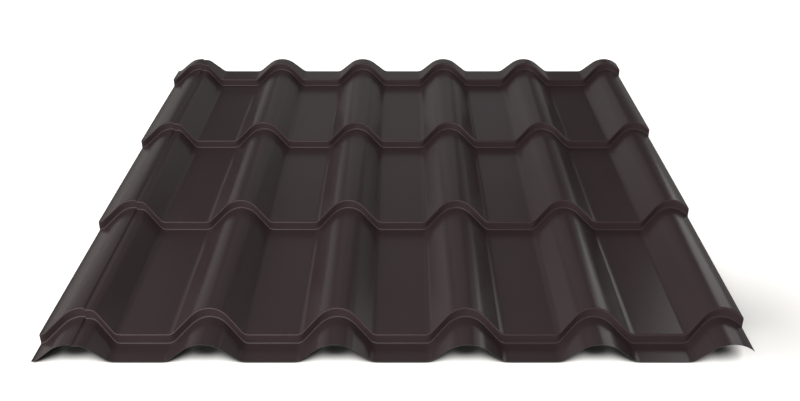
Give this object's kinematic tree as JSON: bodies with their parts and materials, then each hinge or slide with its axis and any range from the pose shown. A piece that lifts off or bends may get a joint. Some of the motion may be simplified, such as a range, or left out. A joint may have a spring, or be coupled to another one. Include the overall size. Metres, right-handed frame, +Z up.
{
  "type": "metal roofing sheet",
  "caption": "Pressed steel roofing sheet with rounded waves along its length and raised tile steps across it, coated dark brown.",
  "frame": {"origin": "centre of the sheet's outline, on the floor that it lies on", "axes": "+X across the waves towards the edge that laps over its neighbour, +Y along the waves from the eave end to the head end, +Z up, the seen side"},
  "size_m": [1.1492, 1.161, 0.0513],
  "materials": {
    "coated_steel": "satin polyester coat, dark chocolate brown"
  },
  "bodies": {
    "root": {"roofing_sheet": "coated_steel"}
  },
  "joints": []
}
